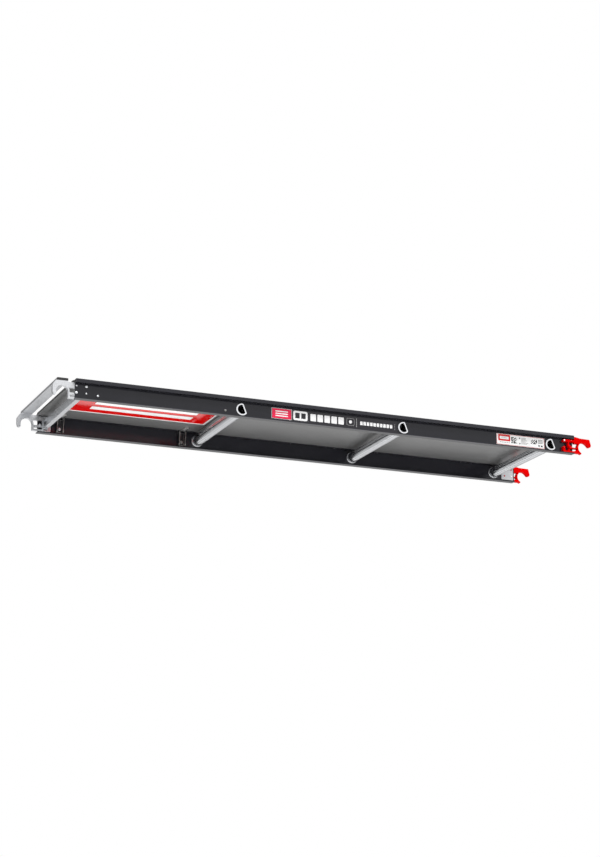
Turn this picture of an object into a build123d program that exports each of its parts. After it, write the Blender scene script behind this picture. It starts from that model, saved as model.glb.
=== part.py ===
from build123d import *
import os
from math import cos, sin, radians

# Scaffold work platform with a hinged hatch. Millimetres, +Z up. X runs along the length from the
# fixed hooks (-X) to the claws (+X), Y across the width. The origin is at the middle of the length
# and width, on the plane that the underside of the side beams stands on.

# Overall sizes
SEAT_SPAN = 2450.0  # between the centres of the tube seats at the two ends
BEAM_LENGTH = 2350.0
WIDTH = 590.0
BEAM_HEIGHT = 85.0
HOOK_REACH = 53.0  # from the beam end to the centre of a fixed hook's seat
HALF = WIDTH / 2
X_START = -SEAT_SPAN / 2 + HOOK_REACH
X_END = X_START + BEAM_LENGTH

# Side beam section, measured inwards from its outer edge
CHAMBER_W = 31.0
CHAMBER_H = 16.0
CHAMBER_WALL = 2.5
WEB_RECESS = 20.0
WEB_T = 3.0
FLANGE_T = 4.0
LEDGE_W = 9.0
LEDGE_T = 3.0
PLUG_LENGTH = 12.0
WEB_IN = WEB_RECESS + WEB_T
CHAMBER_Z = BEAM_HEIGHT - CHAMBER_H
LEDGE_Z = CHAMBER_Z + LEDGE_T

# Scaffold tube that the platform hangs on
TUBE_R = 25.5
SEAT_R = TUBE_R + 0.1
SEAT_WALL = 6.0
SEAT_Z = 30.0

# Fixed hooks and bridge strip
HOOK_T = 16.0
ARM_LOW = 51.0
ARM_TOP = 72.0
HOOK_TOP = 75.5
STRIP_X = (-75.5, -28.0)  # from the beam end
STRIP_H = 11.5
CAP_T = 3.0
RIVET_XZ = ((7.0, 59.0), (49.5, 59.0), (7.0, 29.5), (49.0, 28.0))  # from the beam end
RIVET_HEAD_R = (4.0, 6.0, 6.0, 4.0)
RIVET_R = 2.4
RIVET_HEAD_T = 2.2

# End cross member, a rectangular tube in the hooks' pockets
CROSS_X = (21.5, 41.5)
CROSS_Z = (15.5, ARM_LOW)
CROSS_WALL = 2.0

# Rungs, D-shaped tubes with the flat facing the claws and a little upwards
RUNG_FROM_START = (738.0, 1499.0, 2238.0)
RUNG_Z = 36.0
RUNG_R = 23.5
RUNG_FLAT = 11.5
RUNG_WALL = 3.0
RUNG_CORNER = 5.0
RUNG_TILT = 20.7
FLARE = 3.5
FLARE_LENGTH = 4.0
COLLAR_LENGTH = 6.0
GROOVE_R = 1.4
GROOVE_STEP = 20  # degrees round the tube
GROOVE_PITCH = 7.0  # across the flat

# Deck boards and hatch
DECK_START = -5.0
DECK_END = 2314.0
DECK_TOP = 84.5
DECK_GAP = 0.5
STRIP_T = 2.0
EDGE_STRIP_H = 7.0
SCREW_INSET = 5.0
SCREW_R = 2.2
SCREW_FIRST = 28.0
SCREW_SECOND = 752.0
SCREW_PITCH = 218.0
HATCH_X = (66.0, 728.0)  # from the beam end
HATCH_GAP = 2.0
HATCH_LOW = 73.5
HINGE_Y = HALF - 39.0
HINGE_Z = 79.0
HATCH_FAR = HINGE_Y + 3.5
HATCH_NEAR = -HALF + CHAMBER_W + 2.0
EDGE_CHAMFER = 2.5
GRIP_LENGTH = 100.0
GRIP_WIDTH = 32.0
GRIP_FROM_EDGE = 70.0

# Hinge and rest brackets, U-shaped channels bolted to the webs
BRACKET_FROM_START = (99.0, 663.0)
BRACKET_W = 30.0
BRACKET_T = 2.5
BRACKET_DEPTH = 18.0
BRACKET_Z = (8.0, 66.0)
LOBE_R = 6.5
BOLT_Z = 24.0
BOLT_R = 3.0
HEX_R = 7.0
HEX_T = 4.5
DOME_R = 5.0
DOME_T = 2.4
EAR_Z = 84.0
EAR_FOOT_Z = 40.0
EAR_REACH = 6.0
TAB_POST_Z = 50.0
TAB_FOOT_T = 4.0
TAB_REACH = 20.0
PAD_LENGTH = 40.0
PAD_FROM_START = (150.0, 397.0, 644.0)
PIN_R = 3.0
PIN_CLEARANCE = 0.06
KNUCKLE_R = 5.4
LEAF_W = 18.0
LEAF_T = 3.0
LEAF_END = HINGE_Y - 58.0
LEAF_RIVETS_FROM_END = (11.0, 31.0)
NOTCH_W = 37.0
NOTCH_DEPTH = 13.0

# Claws
CLAW_OUT = 2.5  # gap from the beam's outer edge to the claw's face
CLAW_BOTTOM = FLANGE_T
CLAW_RIVETS = ((-97.4, 58.6), (-63.0, 58.6), (-99.0, 26.0), (-63.0, 27.0))  # x from the seat
PLATE_X = (-116.0, -53.0)  # from the seat
PLATE_Z = (8.0, 66.0)
PLATE_T = 3.0

# Stickers
FILM_T = 0.3
WEB_FILM = ((868.0, 1466.0), (8.0, 61.0))  # x from the beam end, z
LABEL = ((1961.0, 2205.0), (11.0, 61.0))
HATCH_FILM_X = (88.0, 719.0)
HATCH_FILM_Y = (-170.0, 131.0)
HATCH_FILM_R = 6.0


def at(from_start):
    """X of a place measured from the hook end of the beams."""
    return X_START + from_start


def near(inwards):
    """Y of a place measured inwards from the near beam's outer edge."""
    return -HALF + inwards


def far_copy(shape):
    """The same piece on the far beam."""
    return mirror(shape, about=Plane.XZ)


def prism_y(profile, y0, y1):
    """A profile drawn in X and Z, extruded from y0 to y1."""
    plane = Plane(origin=(0, y1, 0), x_dir=(1, 0, 0), z_dir=(0, -1, 0))
    return extrude(plane * profile, y1 - y0)


def prism_x(profile, x0, x1):
    """A profile drawn in Y and Z, extruded from x0 to x1."""
    plane = Plane(origin=(x0, 0, 0), x_dir=(0, 1, 0), z_dir=(1, 0, 0))
    return extrude(plane * profile, x1 - x0)


def block(x, y, z):
    """A box between two limits on each axis."""
    size = (x[1] - x[0], y[1] - y[0], z[1] - z[0])
    middle = ((x[0] + x[1]) / 2, (y[0] + y[1]) / 2, (z[0] + z[1]) / 2)
    return Pos(*middle) * Box(*size)


def flat(a, b):
    """A rectangle between two opposite corners."""
    return Pos((a[0] + b[0]) / 2, (a[1] + b[1]) / 2) * Rectangle(abs(b[0] - a[0]), abs(b[1] - a[1]))


def rod_y(x, z, radius, y0, y1):
    """A round bar along Y."""
    return prism_y(Pos(x, z) * Circle(radius), y0, y1)


def outline(points, radii):
    """A closed face with a rounded corner of its own radius at each point."""
    return make_face(FilletPolyline(*points, radius=radii, close=True))


def rim_at(shape, y):
    """The edges of a piece that lie in the plane at y."""
    return shape.edges().filter_by(lambda edge: abs(edge.center().Y - y) < 0.1)


def save(shape, name):
    export_step(shape, f"parts/{name}.step")


def rung_profile(grow=0.0):
    """The D outline of a rung, grown outwards by the given amount."""
    radius = RUNG_R + grow
    face = Circle(radius) - Pos(RUNG_FLAT + grow + radius, 0) * Rectangle(2 * radius, 4 * radius)
    face = fillet(face.vertices(), RUNG_CORNER + max(grow, -RUNG_WALL) / 2)
    return Rot(0, 0, RUNG_TILT) * face


def side_beam():
    """The near beam: top chamber, recessed web, bottom flange and the ledge under the deck."""
    chamber = flat((near(0), CHAMBER_Z), (near(CHAMBER_W), BEAM_HEIGHT))
    hollow = flat(
        (near(CHAMBER_WALL), CHAMBER_Z + CHAMBER_WALL),
        (near(CHAMBER_W - CHAMBER_WALL), BEAM_HEIGHT - CHAMBER_WALL),
    )
    web = flat((near(WEB_RECESS), FLANGE_T), (near(WEB_IN), CHAMBER_Z))
    flange = flat((near(0), 0), (near(CHAMBER_W), FLANGE_T))
    ledge = flat((near(CHAMBER_W), CHAMBER_Z), (near(CHAMBER_W + LEDGE_W), LEDGE_Z))
    section = chamber + web + flange + ledge
    outer = [v for v in section.vertices() if v.Y > BEAM_HEIGHT - 0.1 or v.Y < 0.1]
    section = fillet(outer, 1.5) - hollow
    beam = prism_x(section, X_START, X_END)
    for place in RUNG_FROM_START:
        opening = Pos(at(place), RUNG_Z) * rung_profile(0.05)
        beam -= prism_y(opening, near(WEB_RECESS - 1), near(WEB_IN + 1))
    for x, z in RIVET_XZ:
        beam -= rod_y(at(x), z, RIVET_R, near(WEB_RECESS - 1), near(WEB_IN + 1))
    for x, z in CLAW_RIVETS:
        beam -= rod_y(SEAT_SPAN / 2 + x, z, RIVET_R, near(WEB_RECESS - 1), near(WEB_IN + 1))
    for place in BRACKET_FROM_START:
        beam -= rod_y(at(place), BOLT_Z, BOLT_R, near(WEB_RECESS - 1), near(WEB_IN + 1))
        slot_x = (at(place) - NOTCH_W / 2, at(place) + NOTCH_W / 2)
        beam -= block(slot_x, (near(CHAMBER_W), near(50)), (CHAMBER_Z - 1, LEDGE_Z + 1))
    for x, y in screw_places():
        if y < 0:
            beam -= Pos(x, y, CHAMBER_Z) * Cylinder(SCREW_R, 4 * LEDGE_T)
    return beam


def rung(place):
    """A grooved D tube with a flared ring outside each web and a swaged collar inside it."""
    body = rung_profile()
    for angle in range(80, 360 - 79, GROOVE_STEP):
        spin = radians(angle + RUNG_TILT)
        body -= Pos(RUNG_R * cos(spin), RUNG_R * sin(spin)) * Circle(GROOVE_R)
    for step in (-1, 0, 1):
        body -= Rot(0, 0, RUNG_TILT) * Pos(RUNG_FLAT, step * GROOVE_PITCH) * Circle(GROOVE_R)
    centre = Pos(at(place), RUNG_Z)
    bore = prism_y(centre * rung_profile(-RUNG_WALL), -HALF, HALF)
    tube = prism_y(centre * body, near(WEB_IN), -near(WEB_IN))
    for side in (1, -1):
        flare_y = sorted((side * near(WEB_RECESS - FLARE_LENGTH), side * near(WEB_RECESS)))
        neck_y = sorted((side * near(WEB_RECESS), side * near(WEB_IN)))
        collar_y = sorted((side * near(WEB_IN), side * near(WEB_IN + COLLAR_LENGTH)))
        ring = prism_y(centre * rung_profile(FLARE), *flare_y)
        tube += fillet(rim_at(ring, side * near(WEB_RECESS - FLARE_LENGTH)), 1.6)
        tube += prism_y(centre * rung_profile(), *neck_y)
        collar = prism_y(centre * rung_profile(FLARE), *collar_y)
        tube += fillet(rim_at(collar, side * near(WEB_IN + COLLAR_LENGTH)), 2.2)
    return tube - bore


def hook_profile():
    """A fixed hook in X and Z about its seat centre: hook, arm, two cells with a stay, pocket and foot."""
    low = CLAW_BOTTOM - SEAT_Z
    arm_low = ARM_LOW - SEAT_Z
    arm_top = ARM_TOP - SEAT_Z
    head = HOOK_TOP - SEAT_Z
    wall = SEAT_R + SEAT_WALL
    inside_top = CHAMBER_Z - SEAT_Z
    pocket = (HOOK_REACH + CROSS_X[0] - 0.2, HOOK_REACH + CROSS_X[1] + 0.2)
    floor = CROSS_Z[0] - SEAT_Z
    tab = HOOK_REACH + RIVET_XZ[3][0]
    points = [
        (-36, -17), (-41, -4), (-41, 24), (-28, head), (25, head), (25, arm_top),
        (HOOK_REACH - 0.5, arm_top), (HOOK_REACH - 0.5, inside_top), (113, inside_top),
        (113, arm_low), (pocket[0], arm_low), (pocket[0], floor),
        (pocket[1], floor), (pocket[1], 5), (tab + 7, 5), (tab + 7, low), (26, low),
        (26, 0), (-SEAT_R, 0), (-SEAT_R, -17),
    ]
    radii = [4, 6, 10, 12, 2, 2, 1, 0.5, 4, 3, 0, 0, 0, 2, 4, 5, 2, 0, 0, 3]
    face = outline(points, radii) - Circle(SEAT_R)
    boss = Pos(HOOK_REACH + RIVET_XZ[2][0], RIVET_XZ[2][1] - SEAT_Z) * Circle(6)
    upper_cell = flat((8, -2), (pocket[0] - 4, arm_low - 1)) - Circle(wall) - boss
    lower_cell = flat((32.5, -19.5), (pocket[0] - 4, -10.5))
    pad_cell = flat((pocket[0] + 2, -22), (pocket[1] - 2, floor - 2.5))
    face -= upper_cell + lower_cell + pad_cell
    for x, z in RIVET_XZ:
        face -= Pos(HOOK_REACH + x, z - SEAT_Z) * Circle(RIVET_R)
    return face


def fixed_hook():
    hook_x = -SEAT_SPAN / 2
    return prism_y(Pos(hook_x, SEAT_Z) * hook_profile(), near(WEB_IN), near(WEB_IN + HOOK_T))


def claw_profile():
    """A claw in X and Z about its seat centre: head, seat wall, foot, arms and rivet lobes."""
    low = CLAW_BOTTOM - SEAT_Z
    wall = SEAT_R + SEAT_WALL
    diagonal = SEAT_R * cos(radians(45))
    head = outline(
        [(-46, 18), (-46, 49), (-37, 49), (-14, 44.5), (34, 43.5), (41, 16), (38, 8),
         (29, 2 * diagonal - 29), (diagonal, diagonal), (0, 20)],
        [0, 2, 4, 3, 3, 5, 3, 2, 0, 0],
    )
    foot = outline(
        [(-50, low), (-12, low), (-8.5, low + 3), (-24, -6), (-34, -12), (-50, low + 7)],
        [0.5, 2, 1.5, 0, 2, 0.5],
    )
    seat_wall = Circle(wall) - flat((0, -40), (40, 40))
    seat_wall -= flat((-12, -40), (0, -10))
    arm = flat((-100, 23.5), (-40, 34)) + Pos(CLAW_RIVETS[0][0], CLAW_RIVETS[0][1] - SEAT_Z) * Circle(6.2)
    lower_arm = flat((-98, low), (-40, low + 7.5))
    tip = outline([(-104, low), (-94, low), (-94, 2), (-104, 2)], [6, 0.5, 4.5, 4.5])
    hanger = outline([(-79, 26), (-73, 26), (-73, 9), (-60, 3), (-60, -7), (-69, -7), (-79, 5)], 1.5)
    lobe = Pos(CLAW_RIVETS[3][0], CLAW_RIVETS[3][1] - SEAT_Z) * Circle(6.2)
    stay = flat((-66, -6), (-28, -1.5))
    stub = flat((-77, low + 2), (-72, -9))
    face = head + foot + seat_wall + arm + lower_arm + tip + hanger + lobe + stay + stub
    face -= Circle(SEAT_R)
    for x, z in CLAW_RIVETS:
        face -= Pos(x, z - SEAT_Z) * Circle(RIVET_R)
    return face


def claw_hook():
    claw_x = SEAT_SPAN / 2
    return prism_y(Pos(claw_x, SEAT_Z) * claw_profile(), near(CLAW_OUT), near(WEB_RECESS))


def claw_plate():
    """The backing plate on the web's inner face, drilled for the rivets."""
    x0, x1 = (SEAT_SPAN / 2 + x for x in PLATE_X)
    points = [(x0, PLATE_Z[0]), (x1, PLATE_Z[0]), (x1, PLATE_Z[1]), (x0, PLATE_Z[1])]
    plate = prism_y(outline(points, 3.0), near(WEB_IN), near(WEB_IN + PLATE_T))
    for x, z in CLAW_RIVETS:
        plate -= rod_y(SEAT_SPAN / 2 + x, z, RIVET_R, near(WEB_IN - 1), near(WEB_IN + PLATE_T + 1))
    return plate


def rivet(x, z, start, end, head_r):
    """A dome rivet through the stack from start to end, measured inwards from the near edge."""
    shank = rod_y(x, z, RIVET_R, near(start), near(end))
    top = near(start - RIVET_HEAD_T)
    dome = rod_y(x, z, head_r, top, near(start))
    tail = rod_y(x, z, RIVET_R + 1.4, near(end), near(end + 1.6))
    return shank + fillet(rim_at(dome, top), 1.6) + tail


def deck_board(x0, x1, rebate=0.0):
    """A deck board on the ledges, with an optional rebate for the edge strip at its hook end."""
    edge_y = near(CHAMBER_W + DECK_GAP)
    board = block((at(x0), at(x1)), (edge_y, -edge_y), (LEDGE_Z, DECK_TOP))
    if rebate:
        board -= block((at(x0), at(x0) + STRIP_T), (edge_y, -edge_y), (DECK_TOP - EDGE_STRIP_H, DECK_TOP))
    return board


def screw_places():
    """X and Y of the countersunk deck screws."""
    along = [SCREW_FIRST] + [SCREW_SECOND + SCREW_PITCH * i for i in range(8)]
    side_y = near(CHAMBER_W + SCREW_INSET)
    return [(at(x), y) for x in along for y in (side_y, -side_y)]


def screw(x, y):
    head = Pos(x, y, DECK_TOP - 1.5) * Cone(SCREW_R, 4.0, 3.0)
    shank = Pos(x, y, (DECK_TOP + CHAMBER_Z) / 2 - 0.75) * Cylinder(SCREW_R, DECK_TOP - CHAMBER_Z - 1.5)
    return head + shank


def hatch_panel():
    """The trapdoor panel with hinge notches, a chamfered hinge edge and a grip slot."""
    x0, x1 = at(HATCH_X[0]), at(HATCH_X[1])
    section = outline(
        [(HATCH_NEAR, HATCH_LOW), (HATCH_FAR - EDGE_CHAMFER, HATCH_LOW),
         (HATCH_FAR, HATCH_LOW + EDGE_CHAMFER), (HATCH_FAR, DECK_TOP), (HATCH_NEAR, DECK_TOP)],
        [0.5, 0, 0, 0.5, 0.5],
    )
    panel = prism_x(section, x0, x1)
    for place in BRACKET_FROM_START:
        notch_x = (at(place) - NOTCH_W / 2, at(place) + NOTCH_W / 2)
        panel -= block(notch_x, (HATCH_FAR - NOTCH_DEPTH, HATCH_FAR + 1), (HATCH_LOW - 1, DECK_TOP + 1))
    grip = Pos((x0 + x1) / 2, HATCH_NEAR + GRIP_FROM_EDGE, DECK_TOP) * SlotOverall(GRIP_LENGTH, GRIP_WIDTH)
    return panel - extrude(grip, -20)


def bracket_shell(place, inner_y):
    """A U channel on the far web, open towards the middle, with rounded lobes at its foot."""
    x0, x1 = at(place) - BRACKET_W / 2, at(place) + BRACKET_W / 2
    web_y = -near(WEB_IN)
    back = block((x0, x1), (web_y - BRACKET_T, web_y), BRACKET_Z)
    cheek = outline(
        [(inner_y, BRACKET_Z[0]), (web_y, BRACKET_Z[0]), (web_y, BRACKET_Z[1]), (inner_y, BRACKET_Z[1])],
        [LOBE_R, 0.5, 0.5, 0.5],
    )
    cheek -= Pos(inner_y + LOBE_R + 1, BRACKET_Z[0] + LOBE_R) * Circle(2.0)
    cheeks = prism_x(cheek, x0, x0 + BRACKET_T) + prism_x(cheek, x1 - BRACKET_T, x1)
    bolt_hole = rod_y(at(place), BOLT_Z, BOLT_R, web_y - 2 * BRACKET_T, web_y)
    return back + cheeks - bolt_hole


def hinge_bracket(place):
    """The far bracket: its cheeks rise through the ledge as ears that carry the hinge pin."""
    shell = bracket_shell(place, -near(WEB_IN) - BRACKET_DEPTH)
    y0, y1 = HINGE_Y - EAR_REACH, -near(CHAMBER_W) - 0.6
    ear = outline([(y0, EAR_FOOT_Z), (y1, EAR_FOOT_Z), (y1, EAR_Z), (y0, EAR_Z)], [3, 0.5, 5, 5])
    ear -= Pos(HINGE_Y, HINGE_Z) * Circle(PIN_R)
    x0, x1 = at(place) - BRACKET_W / 2, at(place) + BRACKET_W / 2
    return shell + prism_x(ear, x0, x0 + BRACKET_T) + prism_x(ear, x1 - BRACKET_T, x1)


def rest_bracket(place):
    """The near bracket: the same channel with a tab that steadies the hatch's free edge."""
    shell = far_copy(bracket_shell(place, -near(WEB_IN) - BRACKET_DEPTH))
    x0, x1 = at(place) - BRACKET_W / 2, at(place) + BRACKET_W / 2
    tab_y = near(WEB_IN + BRACKET_DEPTH)
    back_y = tab_y - 2 * BRACKET_T
    post = block((x0 + 4, x1 - 4), (back_y, tab_y - BRACKET_T), (TAB_POST_Z, LEDGE_Z))
    foot = block((x0, x1), (back_y, tab_y), (TAB_POST_Z, TAB_POST_Z + TAB_FOOT_T))
    tab = block((x0 + 4, x1 - 4), (back_y, tab_y + TAB_REACH), (LEDGE_Z - BRACKET_T, LEDGE_Z))
    return shell + post + foot + tab


def hinge_pin(place):
    pin = Pos(at(place), HINGE_Y, HINGE_Z) * Rot(0, 90, 0) * Cylinder(PIN_R, BRACKET_W + 3)
    return pin


def hinge_leaf(place):
    """A strap under the hatch whose end rolls up around the pin."""
    x0, x1 = at(place) - LEAF_W / 2, at(place) + LEAF_W / 2
    strap = flat((LEAF_END, HATCH_LOW - LEAF_T), (HINGE_Y - 1, HATCH_LOW))
    lip = flat((LEAF_END, HATCH_LOW - LEAF_T - 3), (LEAF_END + 2, HATCH_LOW))
    knuckle = Pos(HINGE_Y, HINGE_Z) * Circle(KNUCKLE_R)
    rise = flat((HINGE_Y - KNUCKLE_R, HATCH_LOW - LEAF_T), (HINGE_Y - 1, HINGE_Z))
    bore = Pos(HINGE_Y, HINGE_Z) * Circle(PIN_R + PIN_CLEARANCE)
    leaf = prism_x(strap + lip + knuckle + rise - bore, x0, x1)
    for x, y in leaf_rivet_places(place):
        leaf -= Pos(x, y, HATCH_LOW) * Cylinder(RIVET_R, 20)
    return leaf


def leaf_rivet_places(place):
    return [(at(place), LEAF_END + y) for y in LEAF_RIVETS_FROM_END]


def leaf_rivet(x, y):
    """A rivet with a flush top head in the hatch and a domed head under the leaf."""
    low = HATCH_LOW - LEAF_T
    shank = Pos(x, y, (low + DECK_TOP) / 2) * Cylinder(RIVET_R, DECK_TOP - low)
    dome = Pos(x, y, low - 0.9) * Cylinder(4.2, 1.8)
    return shank + fillet(dome.edges().sort_by(Axis.Z)[0], 1.2)


def bracket_bolt(place):
    """A hex bolt through the far bracket and web, with a dome nut outside the web."""
    web_y = -near(WEB_IN)
    shank = rod_y(at(place), BOLT_Z, BOLT_R, web_y - BRACKET_T, web_y + WEB_T)
    hexagon = Pos(at(place), BOLT_Z) * Rot(0, 0, 30) * RegularPolygon(HEX_R, 6)
    head = prism_y(hexagon, web_y - BRACKET_T - HEX_T, web_y - BRACKET_T)
    outer = web_y + WEB_T + DOME_T
    dome = rod_y(at(place), BOLT_Z, DOME_R, web_y + WEB_T, outer)
    return shank + head + fillet(rim_at(dome, outer), 1.6)


def cross_member():
    """The rectangular tube across the hook end."""
    x = (at(CROSS_X[0]), at(CROSS_X[1]))
    end_y = near(WEB_IN + 0.5)
    wall = CROSS_WALL
    tube = block(x, (end_y, -end_y), CROSS_Z)
    bore = block((x[0] + wall, x[1] - wall), (-HALF, HALF), (CROSS_Z[0] + wall, CROSS_Z[1] - wall))
    return tube - bore


def bridge_strip():
    """A flat two-chamber extrusion that lies across both hooks."""
    x0, x1 = at(STRIP_X[0]), at(STRIP_X[1])
    end_y = near(WEB_IN + CAP_T)
    z0, z1 = HOOK_TOP, HOOK_TOP + STRIP_H
    skin = outline([(x0, z0), (x1, z0), (x1, z1), (x0, z1)], 1.5)
    middle = (x0 + x1) / 2
    skin -= flat((x0 + 2, z0 + 2), (middle - 1, z1 - 2)) + flat((middle + 1, z0 + 2), (x1 - 2, z1 - 2))
    return prism_y(skin, end_y, -end_y)


def bridge_cap():
    x0, x1 = at(STRIP_X[0]), at(STRIP_X[1])
    z0, z1 = HOOK_TOP, HOOK_TOP + STRIP_H
    face = outline([(x0, z0), (x1, z0), (x1, z1), (x0, z1)], 2.0)
    return prism_y(face, near(WEB_IN), near(WEB_IN + CAP_T))


def bridge_screws():
    """Countersunk screws down through the strip into the tops of the hooks."""
    screws = []
    for x in (STRIP_X[0] + 14, STRIP_X[1] - 14):
        for side in (1, -1):
            y = side * near(WEB_IN + HOOK_T / 2 + 1)
            head = Pos(at(x), y, HOOK_TOP + STRIP_H - 1.0) * Cone(2.0, 3.8, 2.0)
            length = STRIP_H + 3
            shank = Pos(at(x), y, HOOK_TOP + STRIP_H - 2 - length / 2) * Cylinder(2.0, length)
            screws.append(head + shank)
    return screws


def beam_plug():
    """A plastic plug, flush in the open end of the top chamber."""
    y = (near(CHAMBER_WALL), near(CHAMBER_W - CHAMBER_WALL))
    z = (CHAMBER_Z + CHAMBER_WALL, BEAM_HEIGHT - CHAMBER_WALL)
    plug = block((X_END - PLUG_LENGTH, X_END), y, z)
    return fillet(plug.faces().sort_by(Axis.X)[-1].edges(), 0.8)


def hatch_sticker():
    """A thin plain film under the hatch, its corners slightly rounded."""
    x0, x1 = at(HATCH_FILM_X[0]), at(HATCH_FILM_X[1])
    y0, y1 = HATCH_FILM_Y
    face = outline([(x0, y0), (x1, y0), (x1, y1), (x0, y1)], HATCH_FILM_R)
    return Pos(0, 0, HATCH_LOW - FILM_T) * extrude(face, FILM_T)


def web_film(area):
    (x0, x1), (z0, z1) = area
    return block((at(x0), at(x1)), (near(WEB_RECESS - FILM_T), near(WEB_RECESS)), (z0, z1))


os.makedirs("parts", exist_ok=True)

beam = side_beam()
save(beam, "side_beam_near")
save(far_copy(beam), "side_beam_far")
plugs = [beam_plug(), mirror(beam_plug(), about=Plane.YZ.offset((X_START + X_END) / 2))]
save(Compound(children=plugs + [far_copy(p) for p in plugs]), "beam_end_plugs")

for number, place in enumerate(RUNG_FROM_START, start=1):
    save(rung(place), f"rung_{number}")

hook_rivets = [
    rivet(at(x), z, WEB_RECESS, WEB_IN + HOOK_T, head)
    for (x, z), head in zip(RIVET_XZ, RIVET_HEAD_R)
]
save(Compound(children=hook_rivets), "hook_rivets_near")
save(Compound(children=[far_copy(r) for r in hook_rivets]), "hook_rivets_far")
save(cross_member(), "cross_member")

screws = bridge_screws()
strip = bridge_strip()
near_hook = fixed_hook()
for one in screws:
    strip -= one
    near_hook -= one
save(strip, "bridge_strip")
save(near_hook, "fixed_hook_near")
save(far_copy(near_hook), "fixed_hook_far")
save(bridge_cap(), "bridge_cap_near")
save(far_copy(bridge_cap()), "bridge_cap_far")
save(Compound(children=screws), "bridge_screws")

save(claw_hook(), "claw_hook_near")
save(far_copy(claw_hook()), "claw_hook_far")
save(claw_plate(), "claw_plate_near")
save(far_copy(claw_plate()), "claw_plate_far")
claw_rivets = [
    rivet(SEAT_SPAN / 2 + x, z, CLAW_OUT, WEB_IN + PLATE_T, 4.2) for x, z in CLAW_RIVETS
]
save(Compound(children=claw_rivets), "claw_rivets_near")
save(Compound(children=[far_copy(r) for r in claw_rivets]), "claw_rivets_far")

end_board = deck_board(DECK_START, HATCH_X[0] - HATCH_GAP, rebate=STRIP_T)
main_board = deck_board(HATCH_X[1] + HATCH_GAP, DECK_END)
edge_y = near(CHAMBER_W + DECK_GAP)
edge_strip = block(
    (at(DECK_START), at(DECK_START) + STRIP_T), (edge_y, -edge_y), (DECK_TOP - EDGE_STRIP_H, DECK_TOP)
)
deck_screws = [screw(x, y) for x, y in screw_places()]
for one in deck_screws:
    end_board -= one
    main_board -= one
save(end_board, "deck_end_board")
save(main_board, "deck_main_board")
save(edge_strip, "deck_edge_strip")
save(Compound(children=deck_screws), "deck_screws")

panel = hatch_panel()
leaf_rivets = [leaf_rivet(x, y) for place in BRACKET_FROM_START for x, y in leaf_rivet_places(place)]
for one in leaf_rivets:
    panel -= one
save(panel, "hatch_panel")
save(Compound(children=leaf_rivets), "leaf_rivets")
for name, place in zip(("left", "right"), BRACKET_FROM_START):
    save(hinge_bracket(place), f"hinge_bracket_{name}")
    save(rest_bracket(place), f"rest_bracket_{name}")
    save(hinge_pin(place), f"hinge_pin_{name}")
    save(hinge_leaf(place), f"hinge_leaf_{name}")
bolts = [bracket_bolt(place) for place in BRACKET_FROM_START]
save(Compound(children=bolts + [far_copy(b) for b in bolts]), "bracket_bolts")
pad_y = (near(CHAMBER_W + 2), near(CHAMBER_W + LEDGE_W))
pads = [
    block((at(x) - PAD_LENGTH / 2, at(x) + PAD_LENGTH / 2), pad_y, (LEDGE_Z, HATCH_LOW))
    for x in PAD_FROM_START
]
save(Compound(children=pads), "hatch_rest_pads")

save(hatch_sticker(), "hatch_sticker")
save(web_film(WEB_FILM), "web_film")
save(web_film(LABEL), "rating_label")
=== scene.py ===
import bpy
import bmesh
import math
import random
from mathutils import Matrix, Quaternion, Vector


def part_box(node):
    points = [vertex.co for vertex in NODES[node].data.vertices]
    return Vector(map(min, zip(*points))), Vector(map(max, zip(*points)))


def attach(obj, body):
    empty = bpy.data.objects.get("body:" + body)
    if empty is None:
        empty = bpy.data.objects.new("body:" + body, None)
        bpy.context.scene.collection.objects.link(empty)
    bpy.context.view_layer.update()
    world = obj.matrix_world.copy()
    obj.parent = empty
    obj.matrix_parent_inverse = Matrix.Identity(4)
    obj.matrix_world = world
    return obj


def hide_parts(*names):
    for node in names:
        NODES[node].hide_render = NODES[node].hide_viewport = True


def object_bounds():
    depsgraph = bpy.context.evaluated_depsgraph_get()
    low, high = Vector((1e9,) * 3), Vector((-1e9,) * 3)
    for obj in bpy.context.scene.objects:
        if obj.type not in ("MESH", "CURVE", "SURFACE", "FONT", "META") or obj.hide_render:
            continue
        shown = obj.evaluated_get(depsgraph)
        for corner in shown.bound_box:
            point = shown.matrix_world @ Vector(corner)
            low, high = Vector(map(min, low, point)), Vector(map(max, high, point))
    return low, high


# Scaffold work platform: looks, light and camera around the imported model. Metres, +Z up, X along the
# platform from the fixed hooks to the claws.

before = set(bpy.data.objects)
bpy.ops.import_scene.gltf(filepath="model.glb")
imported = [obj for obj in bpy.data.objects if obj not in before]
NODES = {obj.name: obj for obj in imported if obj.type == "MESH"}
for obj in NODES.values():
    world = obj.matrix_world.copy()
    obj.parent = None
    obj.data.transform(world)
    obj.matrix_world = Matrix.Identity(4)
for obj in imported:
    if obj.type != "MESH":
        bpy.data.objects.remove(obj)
cad_low, cad_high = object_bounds()
MM = 0.001

PLATFORM = "platform"
HATCH = "hatch"


# ---------------------------------------------------------------- node helpers

def node(tree, kind, inputs=None, **settings):
    """Adds a shader node, sets its properties, and links or sets its inputs."""
    made = tree.nodes.new(kind)
    for name, value in settings.items():
        setattr(made, name, value)
    for name, value in (inputs or {}).items():
        if isinstance(value, bpy.types.NodeSocket):
            tree.links.new(value, made.inputs[name])
        else:
            made.inputs[name].default_value = value
    return made


def grey(value, tint=(1.0, 1.0, 1.0)):
    return (value * tint[0], value * tint[1], value * tint[2], 1.0)


def place(tree, scale=(1.0, 1.0, 1.0)):
    """The position on the object in metres, stretched by a scale on each axis."""
    coordinates = node(tree, "ShaderNodeTexCoord")
    inputs = {"Vector": coordinates.outputs["Object"], "Scale": scale}
    return node(tree, "ShaderNodeMapping", inputs).outputs[0]


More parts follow.
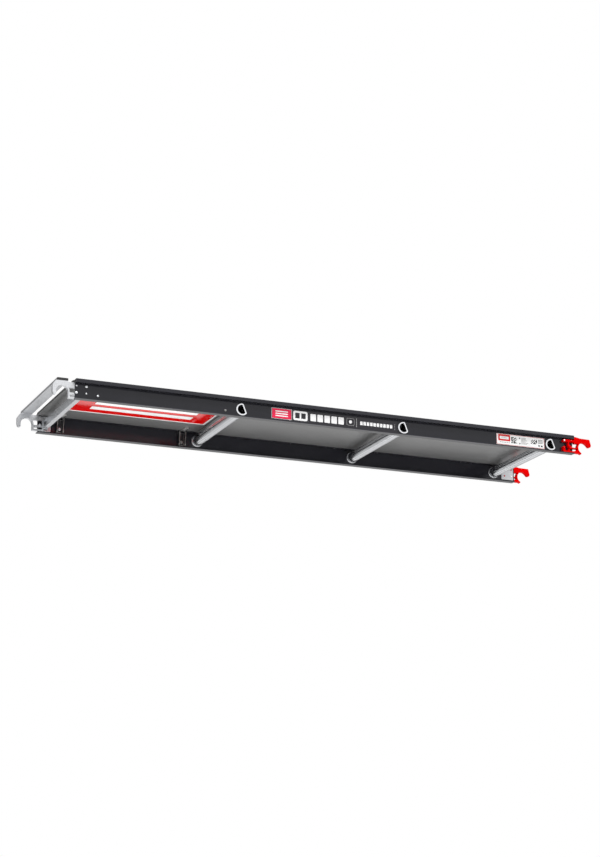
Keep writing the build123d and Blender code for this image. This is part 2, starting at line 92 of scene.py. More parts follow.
def noise(tree, scale, stretch=(1.0, 1.0, 1.0), detail=4.0, rough=0.55):
    return node(
        tree, "ShaderNodeTexNoise",
        {"Vector": place(tree, stretch), "Scale": scale, "Detail": detail, "Roughness": rough},
    ).outputs["Fac"]


def remap(tree, value, low, high, to_low=0.0, to_high=1.0):
    return node(
        tree, "ShaderNodeMapRange",
        {"Value": value, "From Min": low, "From Max": high, "To Min": to_low, "To Max": to_high},
    ).outputs[0]


def maths(tree, operation, a, b=0.0):
    return node(tree, "ShaderNodeMath", {0: a, 1: b}, operation=operation).outputs[0]


def blend_colour(tree, factor, a, b):
    made = node(tree, "ShaderNodeMix", data_type="RGBA")
    for socket, value in ((made.inputs[0], factor), (made.inputs[6], a), (made.inputs[7], b)):
        if isinstance(value, bpy.types.NodeSocket):
            tree.links.new(value, socket)
        else:
            socket.default_value = value
    return made.outputs[2]


def bump(tree, height, distance, strength=1.0, under=None):
    """A bump from a height of 0 to 1 that stands for the given distance in metres."""
    inputs = {"Height": height, "Distance": distance, "Strength": strength}
    if under is not None:
        inputs["Normal"] = under
    return node(tree, "ShaderNodeBump", inputs).outputs[0]


def edge_wear_and_highlight(tree, radius, low=0.05, high=0.35):
    """0 on flat places and 1 on sharp edges, broken up by noise."""
    rounded = node(tree, "ShaderNodeBevel", {"Radius": radius}, samples=4)
    geometry = node(tree, "ShaderNodeNewGeometry")
    dot = node(
        tree, "ShaderNodeVectorMath",
        {0: rounded.outputs[0], 1: geometry.outputs["Normal"]}, operation="DOT_PRODUCT",
    ).outputs["Value"]
    edge = maths(tree, "SUBTRACT", 1.0, dot)
    broken = maths(tree, "MULTIPLY", edge, remap(tree, noise(tree, 260.0), 0.35, 0.75, 0.2, 2.2))
    return remap(tree, broken, low, high)


def material(name, colour, roughness, metallic=0.0, **constants):
    """A material with a Principled shader whose constants sit on its own sockets."""
    made = bpy.data.materials.new(name)
    made.use_nodes = True
    tree = made.node_tree
    shader = tree.nodes["Principled BSDF"]
    shader.inputs["Metallic"].default_value = metallic
    for socket, value in constants.items():
        shader.inputs[socket.replace("_", " ")].default_value = value
    for socket, value in (("Base Color", colour), ("Roughness", roughness)):
        shader.inputs[socket].default_value = value
    return made, tree, shader


def feed(tree, shader, **links):
    for socket, value in links.items():
        tree.links.new(value, shader.inputs[socket.replace("_", " ")])


# ---------------------------------------------------------------- materials

def black_beam():
    """Black coated extrusion: die lines along X, faint handling marks, slightly lighter worn edges."""
    made, tree, shader = material("black_beam", grey(0.016), 0.16, IOR=1.5, Specular_IOR_Level=0.34)
    lines = noise(tree, 900.0, (0.004, 1.0, 1.0), detail=2.0)
    smudge = noise(tree, 9.0, (0.5, 1.0, 1.0), detail=6.0)
    speck = noise(tree, 1500.0, detail=1.0)
    scratch = remap(tree, noise(tree, 420.0, (0.03, 1.0, 1.0), detail=3.0), 0.70, 0.78)
    wear = edge_wear_and_highlight(tree, 0.5 * MM, 0.25, 0.6)
    base = blend_colour(
        tree, remap(tree, smudge, 0.3, 0.7), grey(0.0125, (1, 1, 1.35)), grey(0.0165, (1, 1, 1.3))
    )
    base = blend_colour(tree, maths(tree, "MULTIPLY", scratch, 0.2), base, grey(0.04))
    base = blend_colour(tree, maths(tree, "MULTIPLY", wear, 0.35), base, grey(0.08))
    rough = remap(tree, smudge, 0.25, 0.75, 0.11, 0.18)
    rough = maths(tree, "ADD", rough, maths(tree, "MULTIPLY", speck, 0.03))
    feed(
        tree, shader, Base_Color=base, Roughness=rough,
        Normal=bump(tree, lines, 0.0015 * MM, 0.4, bump(tree, speck, 0.001 * MM, 0.4)),
    )
    return made


ALUMINIUM_TINT = (0.985, 1.0, 1.03)
COLLAR_Y = 0.268  # where the rungs' flared ends start, polished by the flaring


def extruded(name, stretch, base_grey=0.6, low=0.2, high=0.34, collars=False):
    """Mill-finish aluminium: drawing lines along one axis, a few darker rubs, bright flared ends."""
    made, tree, shader = material(name, grey(base_grey), 0.3, metallic=1.0)
    lines = noise(tree, 1400.0, stretch, detail=3.0)
    wide_lines = noise(tree, 240.0, stretch, detail=2.0)
    cloud = noise(tree, 24.0, detail=5.0)
    rub = remap(tree, noise(tree, 75.0, detail=6.0, rough=0.7), 0.60, 0.75)
    base = blend_colour(
        tree, remap(tree, lines, 0.3, 0.7),
        grey(base_grey * 0.9, ALUMINIUM_TINT), grey(base_grey * 1.08, ALUMINIUM_TINT),
    )
    base = blend_colour(tree, maths(tree, "MULTIPLY", rub, 0.08), base, grey(base_grey * 0.62))
    if collars:
        across = node(tree, "ShaderNodeSeparateXYZ", {0: place(tree)}).outputs[1]
        worked = remap(tree, maths(tree, "ABSOLUTE", across), COLLAR_Y - 0.002, COLLAR_Y)
        base = blend_colour(tree, worked, base, grey(base_grey * 1.45, ALUMINIUM_TINT))
    rough = remap(tree, cloud, 0.3, 0.7, low, high)
    rough = maths(tree, "ADD", rough, maths(tree, "MULTIPLY", wide_lines, 0.08))
    feed(
        tree, shader, Base_Color=base, Roughness=rough,
        Normal=bump(tree, lines, 0.006 * MM, 0.5, bump(tree, wide_lines, 0.008 * MM, 0.4)),
    )
    return made


def cast_hook():
    """Sawn and tumbled aluminium: brushed faces across Z with small dents and darker pits."""
    made, tree, shader = material("cast_hook", grey(0.62), 0.34, metallic=1.0)
    saw = noise(tree, 1100.0, (1.0, 1.0, 0.05), detail=2.0)
    dents = noise(tree, 210.0, detail=4.0)
    pits = remap(tree, noise(tree, 700.0, detail=2.0), 0.66, 0.74)
    base = blend_colour(
        tree, remap(tree, dents, 0.3, 0.7), grey(0.58, ALUMINIUM_TINT), grey(0.68, ALUMINIUM_TINT)
    )
    base = blend_colour(tree, maths(tree, "MULTIPLY", pits, 0.35), base, grey(0.42))
    feed(
        tree, shader, Base_Color=base, Roughness=remap(tree, dents, 0.3, 0.7, 0.30, 0.46),
        Normal=bump(tree, saw, 0.02 * MM, 0.4, bump(tree, dents, 0.08 * MM, 0.5)),
    )
    return made


def galvanised(name, base_grey):
    """Zinc-plated steel: pale crystals, a little dull, darker where it rubs."""
    made, tree, shader = material(name, grey(base_grey), 0.42, metallic=1.0)
    voronoi = node(
        tree, "ShaderNodeTexVoronoi", {"Vector": place(tree), "Scale": 340.0}, feature="F1"
    )
    crystal = node(tree, "ShaderNodeSeparateColor", {0: voronoi.outputs["Color"]}).outputs[0]
    grain = noise(tree, 900.0, detail=3.0)
    zinc = (1, 0.99, 0.96)
    base = blend_colour(tree, crystal, grey(base_grey * 0.84, zinc), grey(base_grey * 1.16, zinc))
    base = blend_colour(tree, remap(tree, grain, 0.55, 0.75, 0.0, 0.3), base, grey(base_grey * 0.5))
    rough = remap(tree, crystal, 0.0, 1.0, 0.30, 0.46)
    rough = maths(tree, "ADD", rough, maths(tree, "MULTIPLY", grain, 0.06))
    feed(tree, shader, Base_Color=base, Roughness=rough, Normal=bump(tree, grain, 0.03 * MM, 0.5))
    return made


def bracket_painted_shade_and_highlight():
    """Pressed steel in a near-black colour that paints the shade on its cheeks and back plate, with a
    painted highlight on its edges: lighter, zinc-coloured and metallic there.
    """
    made, tree, shader = material("bracket_painted_shade_and_highlight", grey(0.03), 0.4, IOR=1.5)
    # painted highlight: the edge mask where the bracket turns light and metallic, standing for light
    # catching its edges
    edge_highlight_mask = edge_wear_and_highlight(tree, 3.0 * MM, 0.02, 0.14)
    grain = noise(tree, 900.0, detail=3.0)
    # painted shade: this near-black colour stands for the shade inside the cheeks and on the back plate
    painted_shade_black = blend_colour(tree, grain, grey(0.012, (1, 1, 1.15)), grey(0.022, (1, 1, 1.1)))
    warm = (1, 0.98, 0.95)
    # the zinc-coloured tone of the painted edge highlight
    zinc = blend_colour(tree, remap(tree, grain, 0.3, 0.7), grey(0.50, warm), grey(0.70, warm))
    feed(
        tree, shader, Base_Color=blend_colour(tree, edge_highlight_mask, painted_shade_black, zinc),
        Metallic=maths(tree, "MULTIPLY", edge_highlight_mask, 0.8), Roughness=remap(tree, grain, 0.3, 0.7, 0.32, 0.48),
        Normal=bump(tree, grain, 0.03 * MM, 0.5),
    )
    return made


def red_coat():
    """Even, saturated red powder coat with a little orange peel, thinner on the edges."""
    made, tree, shader = material(
        "red_coat", (0.54, 0.0, 0.0, 1.0), 0.3, IOR=1.45, Specular_IOR_Level=0.02
    )
    peel = noise(tree, 380.0, detail=2.0)
    cloud = noise(tree, 40.0, detail=4.0)
    wear = edge_wear_and_highlight(tree, 0.6 * MM, 0.45, 0.9)
    base = blend_colour(tree, remap(tree, cloud, 0.3, 0.7), (0.49, 0.0, 0.0, 1), (0.58, 0.0, 0.0002, 1))
    base = blend_colour(tree, maths(tree, "MULTIPLY", wear, 0.4), base, (0.36, 0.002, 0.002, 1))
    feed(
        tree, shader, Base_Color=base, Roughness=remap(tree, cloud, 0.3, 0.7, 0.25, 0.35),
        Normal=bump(tree, peel, 0.05 * MM, 0.35),
    )
    return made


def deck_board(thread_pitch=7.0 * MM, thread_width=0.16):
    """Fibre board with a resin film: smooth underneath, an imprinted wire mesh on top, layered edges."""
    made, tree, shader = material("deck_board", grey(0.08), 0.35, IOR=1.5)
    normal = node(tree, "ShaderNodeSeparateXYZ", {0: node(tree, "ShaderNodeNewGeometry").outputs["Normal"]})
    top = remap(tree, normal.outputs["Z"], 0.6, 0.9)
    side = remap(tree, maths(tree, "ABSOLUTE", normal.outputs["Z"]), 0.5, 0.2)
    at = node(tree, "ShaderNodeSeparateXYZ", {0: place(tree)})
    threads = None
    for slope in (1.0, -1.0):
        along = maths(tree, "ADD", at.outputs["X"], maths(tree, "MULTIPLY", at.outputs["Y"], slope))
        wave = maths(tree, "PINGPONG", along, thread_pitch / 2)
        thread = remap(tree, wave, 0.0, thread_pitch * thread_width, 1.0, 0.0)
        threads = thread if threads is None else maths(tree, "MAXIMUM", threads, thread)
    layers = maths(tree, "PINGPONG", at.outputs["Z"], 0.8 * MM)
    cloud = noise(tree, 6.0, detail=7.0, rough=0.6)
    fibre = noise(tree, 700.0, (0.12, 1.0, 1.0), detail=3.0)
    scuff = remap(tree, noise(tree, 30.0, (0.4, 1.0, 1.0), detail=8.0, rough=0.7), 0.56, 0.72)
    base = blend_colour(tree, remap(tree, cloud, 0.3, 0.7), grey(0.108), grey(0.124))
    base = blend_colour(tree, remap(tree, fibre, 0.35, 0.75, 0.0, 0.3), base, grey(0.080))
    tread = blend_colour(tree, threads, grey(0.040), grey(0.062))
    tread = blend_colour(tree, maths(tree, "MULTIPLY", scuff, 0.4), tread, grey(0.13, (1, 0.99, 0.96)))
    base = blend_colour(tree, top, base, tread)
    edge = blend_colour(tree, remap(tree, layers, 0.0, 0.8 * MM), grey(0.030), grey(0.10, (1, 0.9, 0.78)))
    base = blend_colour(tree, maths(tree, "MULTIPLY", side, 0.5), base, edge)
    rough = blend_colour(tree, top, remap(tree, cloud, 0.3, 0.7, 0.30, 0.38), grey(0.55))
    mesh_height = maths(tree, "MULTIPLY", threads, top)
    feed(
        tree, shader, Base_Color=base, Roughness=rough,
        Normal=bump(tree, mesh_height, 0.35 * MM, 0.9, bump(tree, fibre, 0.02 * MM, 0.4)),
    )
    return made


def moulded(name, colour, grain_scale=900.0, low=0.45, high=0.6):
    """Moulded plastic or rubber with a fine spark-eroded grain."""
    made, tree, shader = material(name, colour, 0.5, IOR=1.48)
    grain = noise(tree, grain_scale, detail=2.0)
    cloud = noise(tree, 30.0, detail=4.0)
    lighter = tuple(min(1.0, c * 1.5) for c in colour[:3]) + (1.0,)
    feed(
        tree, shader,
        Base_Color=blend_colour(tree, remap(tree, cloud, 0.3, 0.7), colour, lighter),
        Roughness=remap(tree, grain, 0.3, 0.7, low, high),
        Normal=bump(tree, grain, 0.06 * MM, 0.6),
    )
    return made


def printed_film(name, colour, roughness=0.10):
    """Printed plastic film: faint print mottle, small bubbles and rub marks."""
    made, tree, shader = material(name, colour, roughness, IOR=1.5)
    mottle = noise(tree, 600.0, detail=3.0)
    cloud = noise(tree, 14.0, detail=5.0)
    darker = tuple(c * 0.88 for c in colour[:3]) + (1.0,)
    base = blend_colour(tree, remap(tree, cloud, 0.35, 0.7, 0.0, 0.8), colour, darker)
    base = blend_colour(tree, remap(tree, mottle, 0.6, 0.8, 0.0, 0.25), base, darker)
    feed(
        tree, shader, Base_Color=base,
        Roughness=remap(tree, cloud, 0.3, 0.7, roughness - 0.04, roughness + 0.06),
        Normal=bump(tree, cloud, 0.02 * MM, 0.2, bump(tree, mottle, 0.002 * MM, 0.3)),
    )
    return made


def pale_floor():
    made, tree, shader = material("pale_floor", grey(0.82), 0.8)
    cloud = noise(tree, 0.8, detail=5.0)
    feed(
        tree, shader, Base_Color=blend_colour(tree, cloud, grey(0.80), grey(0.85)),
        Roughness=remap(tree, cloud, 0.3, 0.7, 0.7, 0.9),
    )
    return made


MATERIALS = {
    "beam": black_beam(),
    "rung": extruded("rung_metal", (1.0, 0.004, 1.0), 0.6, 0.14, 0.24, collars=True),
    "strip": extruded("strip_metal", (1.0, 0.004, 1.0), 0.52, 0.26, 0.4),
    "plate": extruded("plate_metal", (0.004, 1.0, 1.0), 0.56, 0.3, 0.45),
    "hook": cast_hook(),
    "steel": galvanised("galvanised", 0.74),
    # a darker copy of the zinc, painting shade on the bolts away from the hook end
    "zinc_painted_shade": galvanised("galvanised_painted_shade", 0.34),
    "bracket": bracket_painted_shade_and_highlight(),
    "red": red_coat(),
    "deck": deck_board(),
    "plastic": moulded("black_plastic", grey(0.006)),
    "rubber": moulded("black_rubber", grey(0.024), 500.0, 0.7, 0.85),
    "rivet": extruded("rivet_metal", (1.0, 1.0, 1.0), 0.80, 0.2, 0.34),
    "film_black": printed_film("film_black", grey(0.0085, (1.2, 1.0, 1.7)), 0.14),
    "film_white": printed_film("film_white", grey(0.96)),
    "film_red": printed_film("film_red", (0.66, 0.0, 0.0, 1.0), 0.06),
    "film_pink": printed_film("film_pink", (0.84, 0.0, 0.065, 1.0), 0.14),
    "film_grey": printed_film("film_grey", grey(0.33), 0.14),
    "film_dark": printed_film("film_dark", grey(0.02), 0.14),
    "floor": pale_floor(),
}

NODE_MATERIALS = {
    "beam": ["side_beam_near", "side_beam_far"],
    "rung": ["rung_1", "rung_2", "rung_3", "cross_member"],
    "strip": ["bridge_strip"],
    "plate": ["claw_plate_near", "claw_plate_far"],
    "hook": ["fixed_hook_near", "fixed_hook_far"],
    # the hinge and rest brackets carry painted shade with painted edge highlights
    "bracket": ["hinge_bracket_left", "hinge_bracket_right", "rest_bracket_left", "rest_bracket_right"],
    "steel": ["hinge_pin_left", "hinge_pin_right", "hinge_leaf_left", "hinge_leaf_right"],
    "red": ["claw_hook_near", "claw_hook_far"],
    "deck": ["deck_end_board", "deck_main_board", "hatch_panel"],
    "plastic": ["bridge_cap_near", "bridge_cap_far", "beam_end_plugs", "deck_edge_strip"],
    "rubber": ["hatch_rest_pads"],
    "rivet": ["bridge_screws", "deck_screws", "leaf_rivets"],
    "film_black": ["web_film"],
    "film_white": ["rating_label", "hatch_sticker"],
}


def dress_cad_nodes():
    """Gives each CAD node its material."""
    for key, names in NODE_MATERIALS.items():
        for name in names:
            mesh = NODES[name].data
            mesh.materials.clear()
            mesh.materials.append(MATERIALS[key])


# ---------------------------------------------------------------- mesh helpers

def finish_piece(name, mesh_edit, materials, body):
    """Turns a bmesh into a piece with its materials, riding on a body."""
    bmesh.ops.recalc_face_normals(mesh_edit, faces=mesh_edit.faces)
    mesh = bpy.data.meshes.new(name)
    mesh_edit.to_mesh(mesh)
    mesh_edit.free()
    for key in materials:
        mesh.materials.append(MATERIALS[key])
    piece = bpy.data.objects.new(name, mesh)
    bpy.context.scene.collection.objects.link(piece)
    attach(piece, body)
    return piece


def rounded(low, high, radius, steps=5):
    """Corner points of a rounded rectangle."""
    (x0, y0), (x1, y1) = low, high
    corners = [
        (x1 - radius, y1 - radius, 0),
        (x0 + radius, y1 - radius, 90),
        (x0 + radius, y0 + radius, 180),
        (x1 - radius, y0 + radius, 270),
    ]
    points = []
    for cx, cy, start in corners:
        for step in range(steps + 1):
            angle = math.radians(start + 90 * step / steps)
            points.append((cx + radius * math.cos(angle), cy + radius * math.sin(angle)))
    return points


def add_plate(mesh_edit, loop, to_place, thick, hole=None):
    """A flat plate from a loop of points, with an optional hole that has as many points."""
    rings = []
    for depth in (0.0, thick):
        rings.append([mesh_edit.verts.new(to_place(u, v, depth)) for u, v in loop])
        if hole:
            rings.append([mesh_edit.verts.new(to_place(u, v, depth)) for u, v in hole])
    count = len(loop)
    pairs = [(0, 2), (1, 3), (0, 1), (2, 3)] if hole else [(0, 1)]
    for a, b in pairs:
        for i in range(count):
            j = (i + 1) % count
            mesh_edit.faces.new((rings[a][i], rings[a][j], rings[b][j], rings[b][i]))
    if not hole:
        mesh_edit.faces.new(rings[0])
        mesh_edit.faces.new(rings[1])


def print_piece(name, shapes, to_place, key, body, thick=0.12 * MM):
    """Printed shapes of one colour: each is a loop, or a loop and the hole in it."""
    mesh_edit = bmesh.new()
    for shape in shapes:
        loop, hole = shape if isinstance(shape, tuple) else (shape, None)
        add_plate(mesh_edit, loop, to_place, thick, hole)
    return finish_piece(name, mesh_edit, [key], body)


def frame_shape(low, high, radius, width):
    """A rounded frame: its outer loop and its hole."""
    inner_low = (low[0] + width, low[1] + width)
    inner_high = (high[0] - width, high[1] - width)
    return rounded(low, high, radius), rounded(inner_low, inner_high, max(radius - width, width * 0.3))


def cells(low, high, columns, rows, chosen):
    """Square blocks on a grid, where chosen(column, row) says so."""
    width, height = (high[0] - low[0]) / columns, (high[1] - low[1]) / rows
    shapes = []
    for column in range(columns):
        for row in range(rows):
            if chosen(column, row):
                x, y = low[0] + column * width, low[1] + row * height
                shapes.append([(x, y), (x + width, y), (x + width, y + height), (x, y + height)])
    return shapes


def web_place(node_name):
    """Places shapes on the outer face of a film on the near web."""
    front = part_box(node_name)[0].y
    return lambda u, v, depth: Vector((u, front - depth, v))


# ---------------------------------------------------------------- printed films

def film_grid(node_name):
    """Turns fractions of a film's length and height into X and Z."""
    low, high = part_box(node_name)
    return lambda u, v: (low.x + u * (high.x - low.x), low.z + v * (high.z - low.z))


def add_web_film_print():
    """Generic shapes along a product strip: badge, tile, bold blocks, small tile, fine blocks."""
    at = film_grid("web_film")
    put = web_place("web_film")
    badge = rounded(at(0.015, 0.15), at(0.162, 0.96), 2 * MM)
    print_piece("web_film_badge", [badge], put, "film_pink", PLATFORM)
    rim = frame_shape(at(0.010, 0.11), at(0.167, 1.0), 3 * MM, 1.1 * MM)
    badge_bars = [
        rounded(at(0.040, 0.32 + 0.19 * i), at(0.137, 0.41 + 0.19 * i), 1 * MM) for i in range(3)
    ]
    tile = rounded(at(0.178, 0.15), at(0.290, 0.94), 0.008)
    tile_marks = [
        rounded(at(0.193 + 0.047 * i, 0.32), at(0.228 + 0.047 * i, 0.78), 2 * MM) for i in range(2)
    ]
    bold = [
        rounded(at(0.312 + 0.055 * i, 0.22), at(0.356 + 0.055 * i, 0.82), 3 * MM) for i in range(5)
    ]
    fine = [
        rounded(at(0.706 + 0.0265 * i, 0.36), at(0.726 + 0.0265 * i, 0.66), 1.6 * MM)
        for i in range(10)
    ]
    dot = rounded(at(0.618, 0.40), at(0.640, 0.66), 5 * MM)
    print_piece(
        "web_film_white", [rim, tile, dot] + badge_bars + bold + fine, put, "film_white",
        PLATFORM, 0.2 * MM,
    )
    print_piece("web_film_tile_marks", tile_marks, put, "film_black", PLATFORM, 0.26 * MM)
    greys = [
        frame_shape(at(0.598, 0.22), at(0.660, 0.84), 7 * MM, 1.6 * MM),
        rounded(at(0.674, 0.14), at(0.679, 0.88), 1 * MM),
    ]
    greys += [
        rounded(at(0.982, 0.26 + 0.14 * i), at(0.986, 0.34 + 0.14 * i), 0.8 * MM) for i in range(4)
    ]
    print_piece("web_film_grey", greys, put, "film_grey", PLATFORM)


def add_label_print():
    """A generic rating label: red border and frame, square patterns and grey rules."""
    at = film_grid("rating_label")
    put = web_place("rating_label")
    draw = random.Random(7)
    border = frame_shape(at(0.004, 0.02), at(0.996, 0.98), 2 * MM, 1.3 * MM)
    frame_red = frame_shape(at(0.035, 0.36), at(0.285, 0.94), 2 * MM, 8 * MM)
    print_piece("label_red", [border, frame_red], put, "film_red", PLATFORM)
    marks = cells(at(0.305, 0.22), at(0.425, 0.80), 8, 8, lambda i, j: draw.random() < 0.55)
    marks += cells(
        at(0.715, 0.36), at(0.845, 0.76), 6, 4, lambda i, j: (i + j) % 2 == 0 or draw.random() < 0.3
    )
    dots = [
        ((0.47, 0.70), (0.495, 0.82)), ((0.47, 0.20), (0.495, 0.32)),
        ((0.87, 0.18), (0.905, 0.32)), ((0.925, 0.16), (0.965, 0.30)),
    ]
    marks += [rounded(at(*low), at(*high), 1.5 * MM) for low, high in dots]
    print_piece("label_dark", marks, put, "film_dark", PLATFORM)
    rules = [
        rounded(at(0.07 + 0.035 * i, 0.20), at(0.095 + 0.035 * i, 0.27), 0.8 * MM) for i in range(6)
    ]
    rules += [
        rounded(at(0.095, 0.60 + 0.08 * i), at(0.225 - 0.03 * i, 0.63 + 0.08 * i), 0.6 * MM)
        for i in range(2)
    ]
    rules += [
        rounded(at(0.51, 0.24 + 0.105 * i), at(0.60 + 0.09 * draw.random(), 0.29 + 0.105 * i), 0.8 * MM)
        for i in range(6)
    ]
    rules += [
        rounded(at(0.87, 0.46 + 0.13 * i), at(0.965, 0.54 + 0.13 * i), 0.8 * MM) for i in range(3)
    ]
    print_piece("label_grey", rules, put, "film_grey", PLATFORM)


def add_hatch_print():
    """The film under the hatch: a red field with a white margin and three even white bands."""
    low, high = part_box("hatch_sticker")
    margin = 9 * MM
    field_low = (low.x + margin, low.y + margin)
    field_high = (high.x - margin, high.y - margin)

    def put(u, v, depth):
        return Vector((u, v, low.z - depth))

    field = rounded(field_low, field_high, 4 * MM)
    print_piece("hatch_film_red", [field], put, "film_red", HATCH)
    band, gap = 0.040, 0.036
    band_low = (low.y + high.y) / 2 - 1.5 * band - gap
    bands = []
    for i in range(3):
        y = band_low + i * (band + gap)
        bands.append(rounded((low.x + 0.085, y), (high.x - 0.085, y + band), 3 * MM))
    print_piece("hatch_film_bars", bands, put, "film_white", HATCH, 0.2 * MM)


# ---------------------------------------------------------------- fasteners

RIVET_HEAD = 2.2 * MM
RIVET_SHANK_R = 2.35 * MM
TAIL_HEIGHT = 1.6 * MM
TAIL = [
    (3.6 * MM, 0), (3.8 * MM, 0.6 * MM), (3.2 * MM, 1.3 * MM), (2.2 * MM, TAIL_HEIGHT), (1.2 * MM, 1.0 * MM)
]
MANDREL = [(1.15 * MM, 0.4 * MM), (1.15 * MM, 1.25 * MM), (0.9 * MM, 1.4 * MM)]
HEX_HEAD = 4.5 * MM
BOLT_SHANK_R = 2.9 * MM
NUT_R, NUT_HEIGHT = 5 * MM, 2.4 * MM
PAINTED_LIT_BOLTS_LENGTH = 0.3  # the bolts this near the hook end are painted bright and the others painted dark, standing for light and shade on bolts that are all alike


def lathe(mesh_edit, centre, axis, profile, material_index=0, steps=28):
    """A round body about an axis from (radius, height) points, closed at both ends."""
    turn = Vector((0, 0, 1)).rotation_difference(Vector(axis)).to_matrix()
    rings = []
    for radius, height in profile:
        ring = []
        for step in range(steps):
            angle = 2 * math.pi * step / steps
            local = Vector((radius * math.cos(angle), radius * math.sin(angle), height))
            ring.append(mesh_edit.verts.new(Vector(centre) + turn @ local))
        rings.append(ring)
    made = []
    for lower, upper in zip(rings, rings[1:]):
        for i in range(steps):
            j = (i + 1) % steps
            made.append(mesh_edit.faces.new((lower[i], lower[j], upper[j], upper[i])))
    made.append(mesh_edit.faces.new(rings[0][::-1]))
    made.append(mesh_edit.faces.new(rings[-1]))
    for face in made:
        face.smooth = True
        face.material_index = material_index


def dome_profile(radius, height, hole):
    """A rivet head with a rolled rim and the snapped mandrel sunk in its middle."""
    points = [(radius * 0.98, 0.0)]
    for step in range(1, 8):
        angle = math.radians(90 * step / 8)
        points.append((hole + (radius - hole) * math.cos(angle), height * math.sin(angle)))
    return points + [(hole, height), (hole * 0.8, height * 0.55), (hole * 0.35, height * 0.5)]


def islands(name):
    """The boxes of a node's separate solids, as (low, high)."""
    mesh_edit = bmesh.new()
    mesh_edit.from_mesh(NODES[name].data)
    bmesh.ops.remove_doubles(mesh_edit, verts=mesh_edit.verts, dist=1e-6)
    seen, found = set(), []
    for start in mesh_edit.verts:
        if start in seen:
            continue
        seen.add(start)
        queue, members = [start], []
        while queue:
            vertex = queue.pop()
            members.append(vertex.co.copy())
            for edge in vertex.link_edges:
                other = edge.other_vert(vertex)
                if other not in seen:
                    seen.add(other)
                    queue.append(other)
        low = Vector(min(c[i] for c in members) for i in range(3))
        high = Vector(max(c[i] for c in members) for i in range(3))
        found.append((low, high))
    mesh_edit.free()
    return sorted(found, key=lambda pair: tuple(round(c, 4) for c in pair[0]))


def replace_rivets(name, outward, head_keys):
    """Rivets in place of a node's plain ones: domed head, sunk mandrel, shank and rolled tail."""
    mesh_edit = bmesh.new()
    keys = sorted(set(head_keys))
    out, back = (0, outward, 0), (0, -outward, 0)
    for (low, high), key in zip(islands(name), head_keys):
        middle = (low + high) / 2
        paint = keys.index(key)
        head_y, tail_y = (low.y, high.y) if outward < 0 else (high.y, low.y)
        seat = (middle.x, head_y - outward * RIVET_HEAD, middle.z)
        end = (middle.x, tail_y + outward * TAIL_HEIGHT, middle.z)
        head = dome_profile((high.x - low.x) / 2, RIVET_HEAD, 1.3 * MM)
        shank = [(RIVET_SHANK_R, 0), (RIVET_SHANK_R, abs(end[1] - seat[1]))]
        lathe(mesh_edit, seat, out, head, paint)
        lathe(mesh_edit, seat, back, shank, paint)
        lathe(mesh_edit, end, back, TAIL, paint)
        lathe(mesh_edit, seat, out, MANDREL, len(keys))
    piece = finish_piece(name + "_detailed", mesh_edit, keys + ["steel"], PLATFORM)
    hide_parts(name)


def add_bolts():
    """Hex bolts with a washer and chamfered head inside the webs, and a domed nut outside."""
    mesh_edit = bmesh.new()
    for low, high in islands("bracket_bolts"):
        middle = (low + high) / 2
        # painted light and shade: bolts near the hook end take the bright rivet metal, the rest the darker
        # zinc copy
        paint = 0 if middle.x < cad_low.x + PAINTED_LIT_BOLTS_LENGTH else 1
        inward = 1 if middle.y < 0 else -1
        head_y, nut_y = (high.y, low.y) if inward > 0 else (low.y, high.y)
        radius = (high.x - low.x) / 2
        base = (middle.x, head_y - inward * HEX_HEAD, middle.z)
        nut_seat = (middle.x, nut_y + inward * NUT_HEIGHT, middle.z)
        washer = [(radius * 1.12, 0.0), (radius * 1.12, 0.9 * MM), (radius, 1.0 * MM)]
        hexagon = [
            (radius * 0.99, 0.9 * MM), (radius * 0.99, HEX_HEAD - 0.7 * MM),
            (radius * 0.84, HEX_HEAD), (radius * 0.5, HEX_HEAD),
        ]
        shank = [(BOLT_SHANK_R, 0.0), (BOLT_SHANK_R, abs(base[1] - nut_y) - NUT_HEIGHT + 0.1 * MM)]
        lathe(mesh_edit, base, (0, inward, 0), washer, paint)
        lathe(mesh_edit, base, (0, inward, 0), hexagon, paint, steps=6)
        lathe(mesh_edit, base, (0, -inward, 0), shank, paint)
        lathe(mesh_edit, nut_seat, (0, -inward, 0), dome_profile(NUT_R, NUT_HEIGHT, 1.5 * MM), paint)
    piece = finish_piece("bracket_bolts_detailed", mesh_edit, ["rivet", "zinc_painted_shade"], PLATFORM)
    for face in piece.data.polygons:
        face.use_smooth = False
    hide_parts("bracket_bolts")


def add_screw_recess_shade():
    """A dark six-lobed sheet on the head of each countersunk deck screw: painted shade standing for its
    drive recess.
    """
    mesh_edit = bmesh.new()
    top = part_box("deck_screws")[1].z
    for low, high in islands("deck_screws"):
        centre = (low + high) / 2
        loop = []
        for step in range(36):
            angle = 2 * math.pi * step / 36
            radius = (1.75 + 0.35 * math.cos(6 * angle)) * MM
            loop.append((centre.x + radius * math.cos(angle), centre.y + radius * math.sin(angle)))
        add_plate(mesh_edit, loop, lambda u, v, depth: Vector((u, v, top + depth)), 0.05 * MM)
    # painted shade: the dark film colour stands for the shade in the recess
    finish_piece("deck_screw_recess_painted_shade", mesh_edit, ["film_dark"], PLATFORM)


# ---------------------------------------------------------------- stage

FOCAL_MM = 87.3
CAMERA_AT = (-3.553, -8.146, -2.438)
YAW, PITCH, ROLL = (math.radians(angle) for angle in (23.281, 15.765, -0.34))
FLOOR_Z = -2.75
FLOOR_REACH = 14.0
BEHIND_DIM = 0.45  # how bright the surroundings are behind the platform
HOOK_END_DIM = 0.72  # and past its hook end


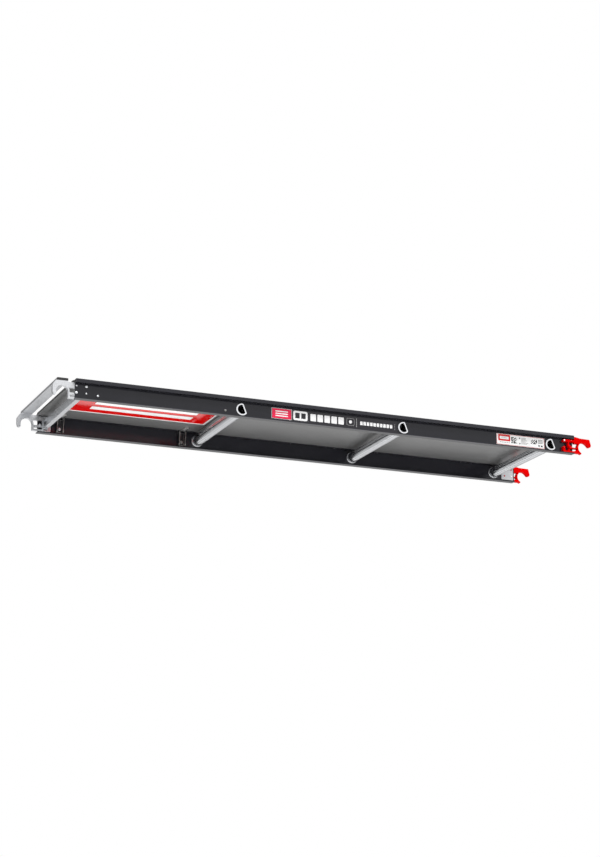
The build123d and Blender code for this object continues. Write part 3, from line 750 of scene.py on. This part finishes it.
def add_camera():
    """Long lens, low and to the hook end, looking up at the underside."""
    data = bpy.data.cameras.new("camera")
    data.lens = FOCAL_MM
    data.clip_end = 100.0
    camera = bpy.data.objects.new("camera", data)
    forward = Vector((
        math.sin(YAW) * math.cos(PITCH), math.cos(YAW) * math.cos(PITCH), math.sin(PITCH)
    ))
    camera.location = CAMERA_AT
    camera.rotation_mode = "QUATERNION"
    camera.rotation_quaternion = forward.to_track_quat("-Z", "Y") @ Quaternion((0, 0, 1), ROLL)
    bpy.context.scene.collection.objects.link(camera)
    bpy.context.scene.camera = camera


def add_light(name, where, target, size, power):
    data = bpy.data.lights.new(name, "AREA")
    data.shape = "RECTANGLE"
    data.size, data.size_y = size
    data.energy = power
    light = bpy.data.objects.new(name, data)
    light.location = where
    light.rotation_mode = "QUATERNION"
    light.rotation_quaternion = (Vector(target) - Vector(where)).to_track_quat("-Z", "Y")
    bpy.context.scene.collection.objects.link(light)


def add_stage():
    """White surroundings, dimmer behind and to the hook end, a pale floor and a soft box."""
    scene = bpy.context.scene
    scene.view_settings.view_transform = "Standard"
    world = bpy.data.worlds.new("surroundings")
    world.use_nodes = True
    tree = world.node_tree
    direction = node(tree, "ShaderNodeTexCoord").outputs["Generated"]
    along = node(tree, "ShaderNodeSeparateXYZ", {0: direction}).outputs
    behind = remap(tree, along[1], -0.1, 0.55, 1.0, BEHIND_DIM)
    hook_end = remap(tree, along[0], -0.75, 0.1, HOOK_END_DIM, 1.0)
    lighting = maths(tree, "MULTIPLY", behind, hook_end)
    seen = node(tree, "ShaderNodeLightPath").outputs["Is Camera Ray"]
    tree.links.new(maths(tree, "MAXIMUM", lighting, seen), tree.nodes["Background"].inputs["Strength"])
    tree.nodes["Background"].inputs["Color"].default_value = grey(1.0)
    scene.world = world
    floor_mesh = bpy.data.meshes.new("floor")
    corners = [(x * FLOOR_REACH, y * FLOOR_REACH) for x, y in ((-1, -1), (1, -1), (1, 1), (-1, 1))]
    floor_mesh.from_pydata([(x, y, FLOOR_Z) for x, y in corners], [], [(0, 1, 2, 3)])
    floor_mesh.materials.append(MATERIALS["floor"])
    floor = bpy.data.objects.new("floor", floor_mesh)
    scene.collection.objects.link(floor)
    add_light("top", (0.5, -1.2, 5.5), (0.3, -0.4, 0), (6.0, 6.0), 1000)


add_camera()
add_stage()
dress_cad_nodes()
add_web_film_print()
add_label_print()
add_hatch_print()
replace_rivets("hook_rivets_near", -1, ["rivet"] * 4)
replace_rivets("hook_rivets_far", 1, ["rivet"] * 4)
# painted highlight: one rivet on each claw is bright bare metal where the light catches it, the other
# rivets take the red coat
replace_rivets("claw_rivets_near", -1, ["red", "rivet", "red", "red"])
replace_rivets("claw_rivets_far", 1, ["red", "red", "rivet", "red"])
add_bolts()
add_screw_recess_shade()
